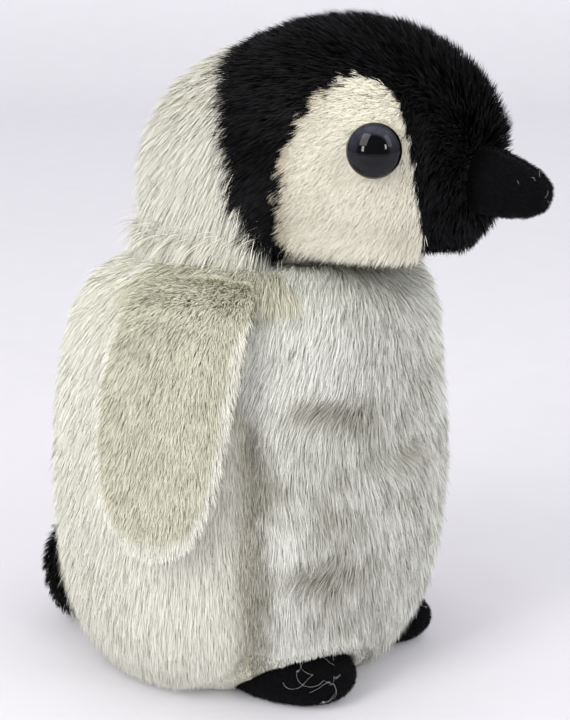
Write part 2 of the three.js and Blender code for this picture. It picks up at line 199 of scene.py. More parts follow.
def ramp(material, factor, stops):
    """A colour ramp: stops are (position, colour)."""
    made = material.node_tree.nodes.new("ShaderNodeValToRGB")
    elements = made.color_ramp.elements
    while len(elements) < len(stops):
        elements.new(0.5)
    for element, (position, colour) in zip(elements, stops):
        element.position = position
        element.color = (*colour, 1)
    material.node_tree.links.new(factor, made.inputs["Fac"])
    return made.outputs["Color"]


def mix(material, factor, first, second, blend="MIX"):
    made = material.node_tree.nodes.new("ShaderNodeMix")
    made.data_type = "RGBA"
    made.blend_type = blend
    for socket, source in (("Factor", factor), ("A", first), ("B", second)):
        target = [s for s in made.inputs if s.name == socket and s.enabled][0]
        if isinstance(source, (int, float)):
            target.default_value = source
        elif isinstance(source, tuple):
            target.default_value = (*source, 1)
        else:
            material.node_tree.links.new(source, target)
    return [s for s in made.outputs if s.enabled][0]


def object_position(material):
    return node(material, "ShaderNodeTexCoord").outputs["Object"]


def noise_colour(material, scale, low, high):
    grain = node(material, "ShaderNodeTexNoise", Scale=scale, Detail=4)
    material.node_tree.links.new(object_position(material), grain.inputs["Vector"])
    return ramp(material, grain.outputs["Fac"], [(0.3, low), (0.7, high)])


def bump(material, height, strength, distance):
    made = node(material, "ShaderNodeBump", Strength=strength, Distance=distance)
    material.node_tree.links.new(height, made.inputs["Height"])
    link(material, made.outputs["Normal"], "Normal")


# ---------------------------------------------------------------- materials


def fur_material(name, light, dark, roughness=0.8, specular=0.25):
    """Pile: colours run from root to tip, mixed strand by strand between a light and a dark set."""
    made = new_material(name)
    along = attribute(made, "along")
    colour = mix(made, attribute(made, "tone"), ramp(made, along, light), ramp(made, along, dark))
    link(made, colour, "Base Color")
    value(made, "Roughness", roughness)
    value(made, "Specular IOR Level", specular)
    return made


def knit_material(name, low, high):
    """The knitted backing between the roots of the pile."""
    made = new_material(name)
    loops = node(made, "ShaderNodeTexVoronoi", Scale=900)
    made.node_tree.links.new(object_position(made), loops.inputs["Vector"])
    link(made, ramp(made, loops.outputs["Distance"], [(0.1, high), (0.7, low)]), "Base Color")
    value(made, "Roughness", 0.95)
    bump(made, loops.outputs["Distance"], 0.5, 0.0004)
    return made


def felt_material(name, low, high):
    made = new_material(name)
    fibres = node(made, "ShaderNodeTexNoise", Scale=1400, Detail=8, Roughness=0.7)
    made.node_tree.links.new(object_position(made), fibres.inputs["Vector"])
    link(made, ramp(made, fibres.outputs["Fac"], [(0.35, low), (0.7, high)]), "Base Color")
    value(made, "Roughness", 0.97)
    value(made, "Sheen Weight", 0.03)
    value(made, "Sheen Roughness", 0.5)
    value(made, "Specular IOR Level", 0.05)
    bump(made, fibres.outputs["Fac"], 0.6, 0.0003)
    return made


def eye_material():
    """Glossy plastic: black pupil, slate iris and black rim, by distance from the eye's axis, with painted
    light on the iris's top.
    """
    made = new_material("eye_plastic")
    radius = attribute(made, "radius")
    height = attribute(made, "height")
    streaks = node(made, "ShaderNodeTexNoise", Scale=500, Detail=3)
    made.node_tree.links.new(object_position(made), streaks.inputs["Vector"])
    # Painted light: the iris runs from near black at the bottom to a lighter slate at the top, standing in
    # for light through a clear dome.
    slate = ramp(made, height, [(0.40, (0.005, 0.0045, 0.007)), (0.9, (0.075, 0.077, 0.10))])
    iris = mix(made, streaks.outputs["Fac"], slate, (0.006, 0.006, 0.009))
    black = (0.0015, 0.0015, 0.002)
    pupil = ramp(made, radius, [(0.52, (1, 1, 1)), (0.64, (0, 0, 0))])
    rim = ramp(made, radius, [(0.86, (0, 0, 0)), (0.95, (1, 1, 1))])
    colour = mix(made, rim, mix(made, pupil, iris, black), black)
    link(made, colour, "Base Color")
    value(made, "Roughness", 0.06)
    value(made, "Specular IOR Level", 0.25)
    return made


def stuffing_material(name, low, high):
    made = new_material(name)
    link(made, noise_colour(made, 300, low, high), "Base Color")
    value(made, "Roughness", 1.0)
    return made


# ---------------------------------------------------------------- smooth noise


def lattice(cells, seed):
    """A repeatable number from 0 to 1 for each whole-number cell."""
    mixed = cells.astype(np.int64) @ np.array([73856093, 19349663, 83492791]) + seed * 7919
    mixed = ((mixed ^ (mixed >> 13)) * 1274126177) & 0xFFFFFFFF
    mixed = mixed ^ (mixed >> 15)
    return (mixed & 0xFFFF) / 65535


def noise(points, size, seed):
    """Smooth noise from -1 to 1, with features of that size in metres."""
    scaled = points / size
    base = np.floor(scaled)
    part = scaled - base
    part = part * part * (3 - 2 * part)
    total = np.zeros(len(points))
    for corner in itertools.product((0, 1), repeat=3):
        weight = np.prod(np.where(corner, part, 1 - part), axis=1)
        total += weight * lattice(base + corner, seed)
    return total * 2 - 1


def noise_vectors(points, size, seed):
    return np.stack([noise(points, size, seed + k) for k in range(3)], axis=1)


def unit(vectors):
    return vectors / np.maximum(np.linalg.norm(vectors, axis=-1, keepdims=True), 1e-9)


def along_surface(vectors, normals):
    """The vectors' directions with their part along the normals taken out."""
    inward = (vectors * normals).sum(1, keepdims=True)
    return unit(vectors - inward * normals)


def smoothstep(low, high, x):
    t = np.clip((x - low) / (high - low), 0, 1)
    return t * t * (3 - 2 * t)


# ---------------------------------------------------------------- padded skins


def evaluated_mesh(obj):
    graph = bpy.context.evaluated_depsgraph_get()
    return bpy.data.meshes.new_from_object(obj.evaluated_get(graph))


def vertex_arrays(mesh):
    """A mesh's vertex positions and normals as arrays."""
    points = np.empty(len(mesh.vertices) * 3)
    normals = np.empty(len(mesh.vertices) * 3)
    mesh.vertices.foreach_get("co", points)
    mesh.vertices.foreach_get("normal", normals)
    return points.reshape(-1, 3), normals.reshape(-1, 3)


def set_points(mesh, points):
    mesh.vertices.foreach_set("co", points.ravel())
    mesh.update()


CLOSING = 0.5 * MM            # how far the CAD solids are swollen to close the gaps between them


def padded_skin(name, nodes, voxel, depth, smoothing=8):
    """One closed skin around some CAD nodes, each point of it depth(points) metres inside them."""
    bm = bmesh.new()
    for n in nodes:
        bm.from_mesh(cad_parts[n].data)
    bmesh.ops.remove_doubles(bm, verts=bm.verts, dist=0.001 * MM)
    bmesh.ops.recalc_face_normals(bm, faces=bm.faces)
    mesh = bpy.data.meshes.new(name)
    bm.to_mesh(mesh)
    bm.free()
    obj = add_object(name, mesh)
    swell = obj.modifiers.new("swell", "DISPLACE")
    swell.strength = CLOSING
    swell.mid_level = 0
    remesh = obj.modifiers.new("remesh", "REMESH")
    remesh.mode = "VOXEL"
    remesh.voxel_size = voxel
    smooth = obj.modifiers.new("smooth", "SMOOTH")
    smooth.iterations = smoothing
    result = evaluated_mesh(obj)
    obj.modifiers.clear()
    obj.data = result
    result.name = name
    steps = 4
    for _ in range(steps):
        points, normals = vertex_arrays(result)
        moved = points - normals * (depth(points)[:, None] + CLOSING) / steps
        set_points(result, moved)
    relax = obj.modifiers.new("relax", "SMOOTH")
    relax.iterations = 4
    obj.data = evaluated_mesh(obj)
    obj.modifiers.clear()
    obj.data.name = name
    for polygon in obj.data.polygons:
        polygon.use_smooth = True
    return obj


def keep_outer_shell(obj):
    """Deletes every closed shell of a mesh but the largest."""
    bm = bmesh.new()
    bm.from_mesh(obj.data)
    left = set(bm.verts)
    shells = []
    while left:
        todo = [left.pop()]
        shell = set(todo)
        while todo:
            for edge in todo.pop().link_edges:
                for vert in edge.verts:
                    if vert not in shell:
                        shell.add(vert)
                        left.discard(vert)
                        todo.append(vert)
        shells.append(shell)
    shells.sort(key=len)
    spare = [v for shell in shells[:-1] for v in shell]
    bmesh.ops.delete(bm, geom=spare, context="VERTS")
    bm.to_mesh(obj.data)
    bm.free()


def nearest_node(points, nodes):
    """For each point, the number of the CAD node whose surface is nearest."""
    trees = []
    for n in nodes:
        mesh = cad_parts[n].data
        mesh.calc_loop_triangles()
        corners = [v.co for v in mesh.vertices]
        trees.append(BVHTree.FromPolygons(corners, [t.vertices for t in mesh.loop_triangles]))
    found = np.empty(len(points), int)
    for i, point in enumerate(points):
        distances = [tree.find_nearest(point)[3] for tree in trees]
        found[i] = int(np.argmin(distances))
    return found


def distance_to(points, nodes, limit):
    """How far each point is from the nearest of some CAD nodes, up to a limit."""
    bm = bmesh.new()
    for n in nodes:
        bm.from_mesh(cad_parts[n].data)
    tree = BVHTree.FromBMesh(bm)
    bm.free()
    found = np.full(len(points), limit)
    for i, point in enumerate(points):
        hit = tree.find_nearest(point, limit)
        if hit[0] is not None:
            found[i] = hit[3]
    return found


# ---------------------------------------------------------------- fur


ROWS = 4                      # points along a strand, the last one its tip
BODY_PILE = 10.5 * MM         # length of the strands of the body's long fur
PATCH_STRANDS = 39000         # strands in one fur piece, so that each piece stays a workable size


def scatter(mesh, density, chosen, seed):
    """Random points on the chosen faces, density of them on a square metre, with their normals."""
    mesh.calc_loop_triangles()
    triangles = np.empty(len(mesh.loop_triangles) * 3, np.int64)
    owners = np.empty(len(mesh.loop_triangles), np.int64)
    mesh.loop_triangles.foreach_get("vertices", triangles)
    mesh.loop_triangles.foreach_get("polygon_index", owners)
    triangles = triangles.reshape(-1, 3)[chosen[owners]]
    points, normals = vertex_arrays(mesh)
    a, b, c = (points[triangles[:, k]] for k in range(3))
    area = np.linalg.norm(np.cross(b - a, c - a), axis=1) / 2
    rng = np.random.default_rng(seed)
    count = int(area.sum() * density)
    picked = rng.choice(len(triangles), count, p=area / area.sum())
    u, v = rng.random(count), rng.random(count)
    folded = u + v > 1
    u[folded], v[folded] = 1 - u[folded], 1 - v[folded]
    weights = np.stack([1 - u - v, u, v], axis=1)
    corners = triangles[picked]
    roots = (points[corners] * weights[:, :, None]).sum(1)
    return roots, unit((normals[corners] * weights[:, :, None]).sum(1))


def clump_leaders(roots, share, seed):
    """For each root, the number of the nearest root among the share of them that lead locks."""
    rng = np.random.default_rng(seed)
    count = max(1, int(len(roots) * share))
    leaders = rng.choice(len(roots), count, replace=False)
    tree = KDTree(count)
    for number, leader in enumerate(leaders):
        tree.insert(roots[leader], number)
    tree.balance()
    return leaders[[tree.find(root)[1] for root in roots]]


def grow(roots, normals, flow, pile, seed):
    """Strand points (strand, row, xyz) and each strand's face direction, from a pile's settings."""
    rng = np.random.default_rng(seed)
    count = len(roots)
    length = pile["length"](roots) * rng.uniform(0.78, 1.1, count)
    jitter = rng.normal(0, pile["stray"], (count, 3)) + noise_vectors(roots, 2.5 * MM, seed) * pile["ruffle"]
    heading = along_surface(flow + jitter, normals)
    start, end = pile["lift"]
    droop = pile["press"](roots)
    wander = rng.normal(0, 7, count)
    points = np.empty((count, ROWS, 3))
    points[:, 0] = roots
    for row in range(1, ROWS):
        share = (row - 0.5) / (ROWS - 1)
        lift = np.radians((start + (end - start) * share + wander) * droop)[:, None]
        step = heading * np.cos(lift) + normals * np.sin(lift)
        step = unit(step - UP * pile["gravity"] * row / ROWS)
        points[:, row] = points[:, row - 1] + step * (length / (ROWS - 1))[:, None]
    for spacing, pull in pile["clumps"]:
        leaders = clump_leaders(roots, 1 / (pile["density"] * spacing**2), seed)
        for row in range(1, ROWS):
            share = (row / (ROWS - 1)) ** 1.3 * pull
            points[:, row] += (points[leaders, row] - points[:, row]) * share
    stray = rng.normal(0, 0.25 * MM, (count, 3)) * pile["fuzz"]
    points[:, ROWS - 1] += stray
    points[:, ROWS - 2] += stray * 0.4
    return points, heading, rng


def ribbons(points, normals, width, rng):
    """Ribbon vertices (strand, 7, xyz) and shading normals: two at each row and one at the tip."""
    count = len(points)
    direction = unit(points[:, -1] - points[:, 0])
    facing = along_surface(normals, direction)
    side = np.cross(direction, facing)
    twist = np.radians(rng.uniform(-80, 80, count))[:, None]
    across = side * np.cos(twist) - facing * np.sin(twist)
    face = facing * np.cos(twist) + side * np.sin(twist)
    taper = np.array([1.0, 0.95, 0.7])
    half = width / 2 * rng.uniform(0.6, 1.3, count)
    verts = np.empty((count, 2 * ROWS - 1, 3))
    for row in range(ROWS - 1):
        reach = across * (half * taper[row])[:, None]
        verts[:, 2 * row] = points[:, row] - reach
        verts[:, 2 * row + 1] = points[:, row] + reach
    verts[:, -1] = points[:, -1]
    return verts, unit(normals + face * 0.12)


def strand_mesh(name, verts, shading, tone):
    """A mesh of ribbons, with its attributes, its shading normals and a bake map of one cell a strand."""
    count, per, _ = verts.shape
    quads = np.array([[0, 1, 3, 2], [2, 3, 5, 4]])
    loops_per = 4 * len(quads) + 3
    pattern = np.concatenate([quads.ravel(), [4, 5, 6]])
    starts = np.array([0, 4, 8])
    offsets = np.arange(count)[:, None]
    corner_verts = (pattern[None, :] + offsets * per).ravel()
    mesh = bpy.data.meshes.new(name)
    mesh.vertices.add(count * per)
    mesh.vertices.foreach_set("co", verts.astype(np.float32).ravel())
    mesh.loops.add(count * loops_per)
    mesh.loops.foreach_set("vertex_index", corner_verts.astype(np.int32))
    mesh.polygons.add(count * 3)
    mesh.polygons.foreach_set("loop_start", (starts[None, :] + offsets * loops_per).astype(np.int32).ravel())

    along = np.array([0, 0, 1, 1, 2, 2, 3]) / (ROWS - 1)
    across = np.array([0.2, 0.8, 0.2, 0.8, 0.2, 0.8, 0.5])
    for label, values in (("along", np.tile(along, count)), ("tone", np.repeat(tone, per))):
        layer = mesh.attributes.new(label, "FLOAT", "POINT")
        layer.data.foreach_set("value", values.astype(np.float32))
    columns = math.ceil(math.sqrt(count))
    cell = np.stack([np.arange(count) % columns, np.arange(count) // columns], axis=1)
    inside = np.stack([across, 0.12 + 0.76 * along], axis=1)
    spots = (cell[:, None, :] + inside[None, :, :]) / columns
    layer = mesh.uv_layers.new(name="OFBake")
    layer.data.foreach_set("uv", spots[:, pattern, :].astype(np.float32).ravel())

    mesh.update()
    mesh.validate()
    mesh.polygons.foreach_set("use_smooth", np.ones(count * 3, bool))
    mesh.normals_split_custom_set_from_vertices(np.repeat(shading, per, axis=0).astype(np.float32))
    return mesh


def add_fur(name, skin, faces, body, material, flow, pile, seed):
    """Grows pile on some faces of a skin, as one or more pieces that ride a body."""
    roots, normals = scatter(skin.data, pile["density"], faces, seed)
    points, heading, rng = grow(roots, normals, flow(roots, normals), pile, seed + 1)
    floor = 0.2 * MM
    points[:, :, 2] = np.maximum(points[:, :, 2], floor)
    verts, shading = ribbons(points, normals, pile["width"], rng)
    mottle = pile["mottle"](roots)
    tone = np.clip(mottle + rng.normal(0, pile["speckle"], len(roots)), 0, 1)
    pieces = math.ceil(len(roots) / PATCH_STRANDS)
    order = np.argsort(roots[:, 0], kind="stable")
    for number, chosen in enumerate(np.array_split(order, pieces), 1):
        label = f"{name}_{number}" if pieces > 1 else name
        fur = add_object(label, strand_mesh(label, verts[chosen], shading[chosen], tone[chosen]))
        fur.data.materials.append(material)
        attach(fur, body)


def constant(amount):
    return lambda points: np.full(len(points), amount)


def pile_settings(**changes):
    """A pile's settings: the body's long fur, with changes."""
    settings = {
        "density": 10e6,
        "length": constant(BODY_PILE),
        "width": 0.2 * MM,
        "lift": (48, 11),
        "press": constant(1.0),
        "stray": 0.13,
        "ruffle": 0.07,
        "clumps": (),
        "fuzz": 0.8,
        "mottle": constant(0.3),
        "speckle": 0.12,
        "gravity": 0.55,
    }
    settings.update(changes)
    return settings


# ---------------------------------------------------------------- the torso


TORSO_NODES = ("belly_panel", "back_left_panel", "back_right_panel", "base_panel")
FOOT_NODES = ("foot_left_upper", "foot_right_upper")
WING_NODES = ("wing_left_inner", "wing_right_inner", "tail_inner")
OUTER_WING_NODES = ("wing_left_outer", "wing_right_outer")
SHOULDER_PATCH = 13 * MM      # how far the wings' colour runs up the shoulders
PILE_DEPTH = 4.6 * MM         # from a long pile's tips down to the fabric they grow from
BARE_DEPTH = 0.4 * MM         # the same where there is hardly any pile


def make_torso():
    """The torso's skin with its base panel, and the fur on its three side panels."""
    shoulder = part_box("belly_panel")[1].z

    def depth(points):
        """Shallow at the ground and round the feet, full on the sides, less towards the neck."""
        side = smoothstep(0.0, 9 * MM, points[:, 2])
        near_neck = smoothstep(shoulder - 18 * MM, shoulder, points[:, 2])
        off_foot = smoothstep(2 * MM, 13 * MM, distance_to(points, FOOT_NODES, 14 * MM))
        return (BARE_DEPTH + (PILE_DEPTH - BARE_DEPTH) * side * off_foot) * (1 - 0.45 * near_neck)

    filling = ("torso_stuffing", "pellet_bag")
    skin = padded_skin("torso_cover", TORSO_NODES + filling, 1.8 * MM, depth)
    keep_outer_shell(skin)
    for material in (KNIT_GREY, KNIT_CREAM, KNIT_CREAM, KNIT_GREY):
        skin.data.materials.append(material)
    centres = face_centres(skin.data)
    owner = nearest_node(centres, TORSO_NODES)
    skin.data.polygons.foreach_set("material_index", owner.astype(np.int32))
    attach(skin, "torso")
    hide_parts(*TORSO_NODES)

    patch_pile = pile_settings(length=constant(13 * MM), mottle=wing_mottle, speckle=0.25)
    over_wing = distance_to(centres, OUTER_WING_NODES, 20 * MM) < SHOULDER_PATCH
    over_wing &= centres[:, 2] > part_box("wing_left_outer")[1].z - 6 * MM
    belly_pile = pile_settings(
        press=pressed, mottle=belly_mottle, length=torso_length, ruffle=0.3, speckle=0.2,
        clumps=((3 * MM, 0.12),),
    )
    belly = (owner == 0) & ~over_wing
    add_fur("belly_fur", skin, belly, "torso", GREY_FUR, belly_flow, belly_pile, 11)
    back_pile = pile_settings(press=pressed, mottle=back_mottle, length=torso_length)
    for number, (side, seed) in enumerate((("left", 21), ("right", 31)), 1):
        plain = (owner == number) & ~over_wing
        patch = over_wing & (centres[:, 0] * (1.5 - number) > 0)
        add_fur(
            f"back_{side}_fur", skin, plain, "torso", CREAM_FUR, body_flow, back_pile, seed,
        )
        add_fur(
            f"shoulder_{side}_fur", skin, patch, "torso", TAUPE_FUR, body_flow, patch_pile,
            seed + 5,
        )


def face_centres(mesh):
    centres = np.empty(len(mesh.polygons) * 3)
    mesh.polygons.foreach_get("center", centres)
    return centres.reshape(-1, 3)


def outward_from(points, node_name):
    """Level directions away from the upright line through the middle of a CAD node."""
    low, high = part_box(node_name)
    middle = np.array((low + high) / 2)
    return unit((points - middle) * np.array([1, 1, 0]))


def down_flow(points, normals):
    return along_surface(-UP + 0.12 * noise_vectors(points, 25 * MM, 3), normals)


def body_flow(points, normals):
    """Down the body, and outward where it faces up, over the shoulders."""
    upward = smoothstep(0.3, 0.9, normals[:, 2])[:, None]
    outward = outward_from(points, "neck_stuffing") * upward
    return along_surface(-UP + 0.12 * noise_vectors(points, 25 * MM, 3) + outward, normals)


def pressed(points):
    """How far the pile stands up: less where a flap lies on it, and on the shoulders."""
    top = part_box("belly_panel")[1].z
    shoulder = smoothstep(top - 14 * MM, top - 4 * MM, points[:, 2])
    free = smoothstep(4 * MM, 11 * MM, distance_to(points, WING_NODES, 12 * MM))
    return (0.35 + 0.65 * free) * (1 - 0.35 * shoulder)


BELLY_SEAM = math.radians(58)     # the belly panel's side seams, from the front


def seam_nearness(points):
    """1 at the belly panel's side seams, 0 well away from them, seen only below the wings."""
    low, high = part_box("base_panel")
    offset = points - np.array((low + high) / 2)
    angle = np.abs(np.arctan2(np.abs(offset[:, 0]), -offset[:, 1]) - BELLY_SEAM)
    apart = angle * np.linalg.norm(offset[:, :2], axis=1)
    fade = 1 - smoothstep(80 * MM, 105 * MM, points[:, 2])
    return np.exp(-((apart / (5 * MM)) ** 2)) * fade


def torso_length(points):
    """Shorter pile along the side seams and above the ground."""
    hem = smoothstep(2 * MM, 14 * MM, points[:, 2])
    feet = smoothstep(4 * MM, 14 * MM, distance_to(points, FOOT_NODES, 15 * MM))
    low = (0.45 + 0.55 * hem) * (0.15 + 0.85 * feet)
    return BODY_PILE * low * (1 - 0.6 * seam_nearness(points))


def wing_mottle(points):
    return 0.3 + 0.35 * noise(points, 4 * MM, 17)


# Random patches, and darker along the side seams: brownish tufts there, and painted shade of the seam's gap
# and the wings' shadow.
def back_mottle(points):
    return np.clip(0.12 + 0.2 * noise(points, 14 * MM, 5) + 0.85 * seam_nearness(points), 0, 1)


# Ruffled spots in the belly's pile: place across, share of the height, way that the pile turns.
WHORLS = (
    (-30 * MM, 0.73, 1.0),
    (-31 * MM, 0.37, 1.0),
    (-12 * MM, 0.60, -1.0),
    (24 * MM, 0.50, -1.0),
    (30 * MM, 0.76, -1.0),
)


def belly_flow(points, normals):
    """Down the belly, swept to the sides under the chin, with a whorl on each side of the middle."""
    low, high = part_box("belly_panel")
    height = (points[:, 2] - low.z) / (high.z - low.z)
    sideways = np.tanh(points[:, 0] / (12 * MM)) * 1.1 * smoothstep(0.5, 0.9, height)
    flow = body_flow(points, normals)
    flow[:, 0] += sideways
    for (_, _, turn), near in zip(WHORLS, whorl_nearness(points)):
        across = np.cross(normals, UP) * turn
        flow += (across * 2.2 + UP * 0.7) * near[:, None]
    return along_surface(flow, normals)


def whorl_nearness(points):
    """For each ruffled spot, 1 at its middle and 0 well away from it."""
    low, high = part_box("belly_panel")
    for x, level, _ in WHORLS:
        across = (points[:, 0] - x) / (6.5 * MM)
        up = (points[:, 2] - low.z - level * (high.z - low.z)) / (4 * MM)
        yield np.exp(-(across**2) - up**2) * (points[:, 1] < 0)


def belly_mottle(points):
    """Random patches where the grey brown roots show; painted shade at the whorls and side seams, painted
    light at the top.
    """
    broad = noise(points, 15 * MM, 8) * 0.4 + noise(points, 5 * MM, 9) * 0.3
    broad += noise(points, 2.5 * MM, 10) * 0.25
    # Painted light: lighter and less mottled towards the top, against the shade under the head.
    top = smoothstep(100 * MM, 118 * MM, points[:, 2])
    # Painted shade in the whorls' partings, over the darker roots that show there.
    spots = sum(whorl_nearness(points)) * 0.7
    # Darker along the side seams: brownish tufts there, and painted shade of the seam's gap and the wings'
    # shadow.
    return np.clip(0.24 + broad * (1 - 0.5 * top) - 0.2 * top + seam_nearness(points) + spots, 0, 1)


# ---------------------------------------------------------------- the head


BEAK_NODES = ("beak_left_felt", "beak_right_felt")
CHEEK_NODES = ("cheek_left_panel", "cheek_right_panel")
HEAD_NODES = (
    "hood_left_panel",
    "hood_right_panel",
    "cheek_left_panel",
    "cheek_right_panel",
    "nape_panel",
)


def make_head():
    """The head's skin, and its black, ivory and cream fur."""
    low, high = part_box("hood_left_panel")

    def depth(points):
        near_neck = 1 - smoothstep(low.z, low.z + 9 * MM, points[:, 2])
        return PILE_DEPTH * (1 - 0.5 * near_neck)

    inner = ("head_stuffing", "eye_left_stem", "eye_right_stem", *BEAK_NODES, "beak_stuffing")
    skin = padded_skin("head_cover", HEAD_NODES + inner, 1.5 * MM, depth)
    keep_outer_shell(skin)
    for material in (KNIT_BLACK, KNIT_BLACK, KNIT_IVORY, KNIT_IVORY, KNIT_GREY):
        skin.data.materials.append(material)
    centres = face_centres(skin.data)
    eye_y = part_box("eye_left_dome")[1].y
    behind = smoothstep(eye_y, eye_y + 6 * MM, centres[:, 1])[:, None]
    frayed = centres + np.random.default_rng(40).normal(0, 1.2 * MM, centres.shape) * behind
    owner = nearest_node(frayed, HEAD_NODES + BEAK_NODES)
    owner[owner > 4] = -1
    skin.data.polygons.foreach_set("material_index", np.maximum(owner, 0).astype(np.int32))
    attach(skin, "head")
    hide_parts(*HEAD_NODES)

    def longer_below(length, extra):
        return lambda points: length + extra * (1 - smoothstep(low.z + 4 * MM, low.z + 20 * MM, points[:, 2]))

    def hood_length(points):
        beside_cheek = np.exp(-((distance_to(points, CHEEK_NODES, 9 * MM) / (4.5 * MM)) ** 2))
        under = 1 - smoothstep(low.z + 4 * MM, low.z + 14 * MM, points[:, 2])
        chin = under * (points[:, 1] < eye_y)
        return (8 + 1.5 * under - 5 * chin) * MM * (1 - 0.4 * beside_cheek)

    # The mottle and speckle mix strands between the black fur's dark set and its light set, whose paler tips
    # are painted highlights.
    hood = pile_settings(
        density=6e6, length=hood_length, width=0.26 * MM, lift=(66, 30), ruffle=0.3,
        gravity=0.15, clumps=((2 * MM, 0.2),), mottle=lambda p: 0.4 + 0.4 * noise(p, 6 * MM, 14), speckle=0.4,
    )
    cheek = pile_settings(
        density=16e6, length=longer_below(4.2 * MM, 2.5 * MM), width=0.17 * MM, lift=(64, 34), ruffle=0.0,
        stray=0.25, clumps=(), fuzz=0.4, mottle=cheek_mottle, speckle=0.08, gravity=0.1,
    )
    nape = pile_settings(length=longer_below(11 * MM, 4 * MM), lift=(54, 18), ruffle=0.1, mottle=nape_mottle)
    for number, side in enumerate(SIDES):
        black = owner == number
        ivory = owner == number + 2
        add_fur(f"hood_{side}_fur", skin, black, "head", BLACK_FUR, head_flow, hood, 41 + number)
        add_fur(
            f"cheek_{side}_fur", skin, ivory, "head", IVORY_FUR, cheek_flow, cheek, 51 + number,
        )
    add_fur("nape_fur", skin, owner == 4, "head", NAPE_FUR, nape_flow, nape, 61)


def fringe(points, normals):
    """Outward over the head's lower edge, so that the underside's pile closes the gap at the neck."""
    below = smoothstep(0.3, 0.8, -normals[:, 2])[:, None]
    return 2.5 * below * outward_from(points, "neck_stuffing")


def head_flow(points, normals):
    """Out from the beak, back over the crown, down the sides and along the cheeks' front edges."""
    low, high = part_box("beak_stuffing")
    from_beak = points - np.array((low + high) / 2)
    near = np.exp(-((np.linalg.norm(from_beak, axis=1) / (22 * MM)) ** 2))[:, None]
    down = smoothstep(0.2, 0.9, np.abs(normals[:, 0]))[:, None]
    flow = -FORWARD - UP * 0.8 * down + 0.15 * noise_vectors(points, 12 * MM, 6)
    flow += 2.5 * near * unit(from_beak) + fringe(points, normals)
    beside_cheek = np.exp(-distance_to(points, CHEEK_NODES, 9 * MM) / (4 * MM))
    beside_cheek *= points[:, 1] < low.y + 34 * MM
    return along_surface(flow - UP * 2.5 * beside_cheek[:, None], normals)


def cheek_flow(points, normals):
    """Back and down from the eye."""
    return along_surface(-FORWARD * 0.8 - UP * 0.7, normals)


def nape_flow(points, normals):
    flow = -UP - 0.25 * FORWARD + 0.3 * outward_from(points, "neck_stuffing")
    flow += 0.12 * noise_vectors(points, 18 * MM, 7) + fringe(points, normals)
    return along_surface(flow, normals)


def cheek_mottle(points):
    """Ivory, browner towards the hood along the patch's rear edge."""
    low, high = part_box("cheek_left_panel")
    rear = smoothstep(high.y - 22 * MM, high.y - 6 * MM, points[:, 1])
    edge = np.exp(-distance_to(points, ("hood_left_panel", "hood_right_panel"), 8 * MM) / (2.8 * MM))
    return np.clip(0.14 + 0.12 * noise(points, 7 * MM, 15) + 1.1 * rear * edge, 0, 1)


def nape_mottle(points):
    return np.clip(0.35 + 0.3 * noise(points, 13 * MM, 16), 0, 1)


# ---------------------------------------------------------------- wings and tail


def make_wing(side, seed):
    """A wing's skin, with taupe fur outside and a cream border and inner side."""
    nodes = (f"wing_{side}_outer", f"wing_{side}_inner")
    skin = padded_skin(
        f"wing_{side}_cover", nodes + (f"wing_{side}_stuffing",), 1.0 * MM, constant(1.3 * MM), 6,
    )
    keep_outer_shell(skin)
    for material in (KNIT_TAUPE, KNIT_CREAM):
        skin.data.materials.append(material)
    centres = face_centres(skin.data)
    high = max(v.co.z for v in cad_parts[nodes[0]].data.vertices)
    reach = (2.5 + 0.7 * noise(centres, 4 * MM, 19)) * MM
    reach *= 1 - smoothstep(high - 14 * MM, high - 5 * MM, centres[:, 2])
    border = distance_to(centres, nodes[1:], 6 * MM) < reach
    skin.data.polygons.foreach_set("material_index", border.astype(np.int32))
    body = f"{side}_wing"
    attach(skin, body)
    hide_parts(*nodes)
    outer = pile_settings(
        density=12e6, length=constant(4.4 * MM), width=0.18 * MM, lift=(54, 22), ruffle=0.1,
        clumps=(), mottle=wing_mottle, speckle=0.3, gravity=0.2,
    )
    inner = pile_settings(
        density=8e6, length=constant(4.4 * MM), width=0.2 * MM, lift=(46, 14), mottle=constant(0.1),
    )
    add_fur(f"wing_{side}_outer_fur", skin, ~border, body, TAUPE_FUR, body_flow, outer, seed)
    add_fur(f"wing_{side}_inner_fur", skin, border, body, CREAM_FUR, down_flow, inner, seed + 3)


def make_tail():
    nodes = ("tail_outer", "tail_inner")
    skin = padded_skin("tail_cover", nodes + ("tail_stuffing",), 1.0 * MM, constant(1.0 * MM), 5)
    keep_outer_shell(skin)
    skin.data.materials.append(KNIT_BLACK)
    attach(skin, "tail")
    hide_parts(*nodes)
    everywhere = np.ones(len(skin.data.polygons), bool)
    pile = pile_settings(
        density=6e6, length=constant(5.5 * MM), width=0.26 * MM, lift=(60, 30), clumps=((2 * MM, 0.5),),
        gravity=0.1,
    )
    add_fur("tail_fur", skin, everywhere, "tail", BLACK_FUR, down_flow, pile, 81)


# ---------------------------------------------------------------- felt beak and feet


def make_beak():
    """The felt cone, with a groove along its sewn middle line."""
    def depth(points):
        seam = np.exp(-((points[:, 0] / (0.7 * MM)) ** 2))
        return 0.35 * MM * seam + 0.1 * MM

    skin = padded_skin("beak_cover", BEAK_NODES + ("beak_stuffing",), 0.6 * MM, depth, 5)
    keep_outer_shell(skin)
    skin.data.materials.append(BLACK_FELT)
    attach(skin, "head")
    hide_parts(*BEAK_NODES)
    add_fuzz("beak_fuzz", skin, "head", 91)
    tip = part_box("beak_left_felt")[0].y + 8 * MM
    add_lint("beak_lint", skin, "head", 93, 14, 3 * MM, lambda points, normals: points[:, 1] < tip)


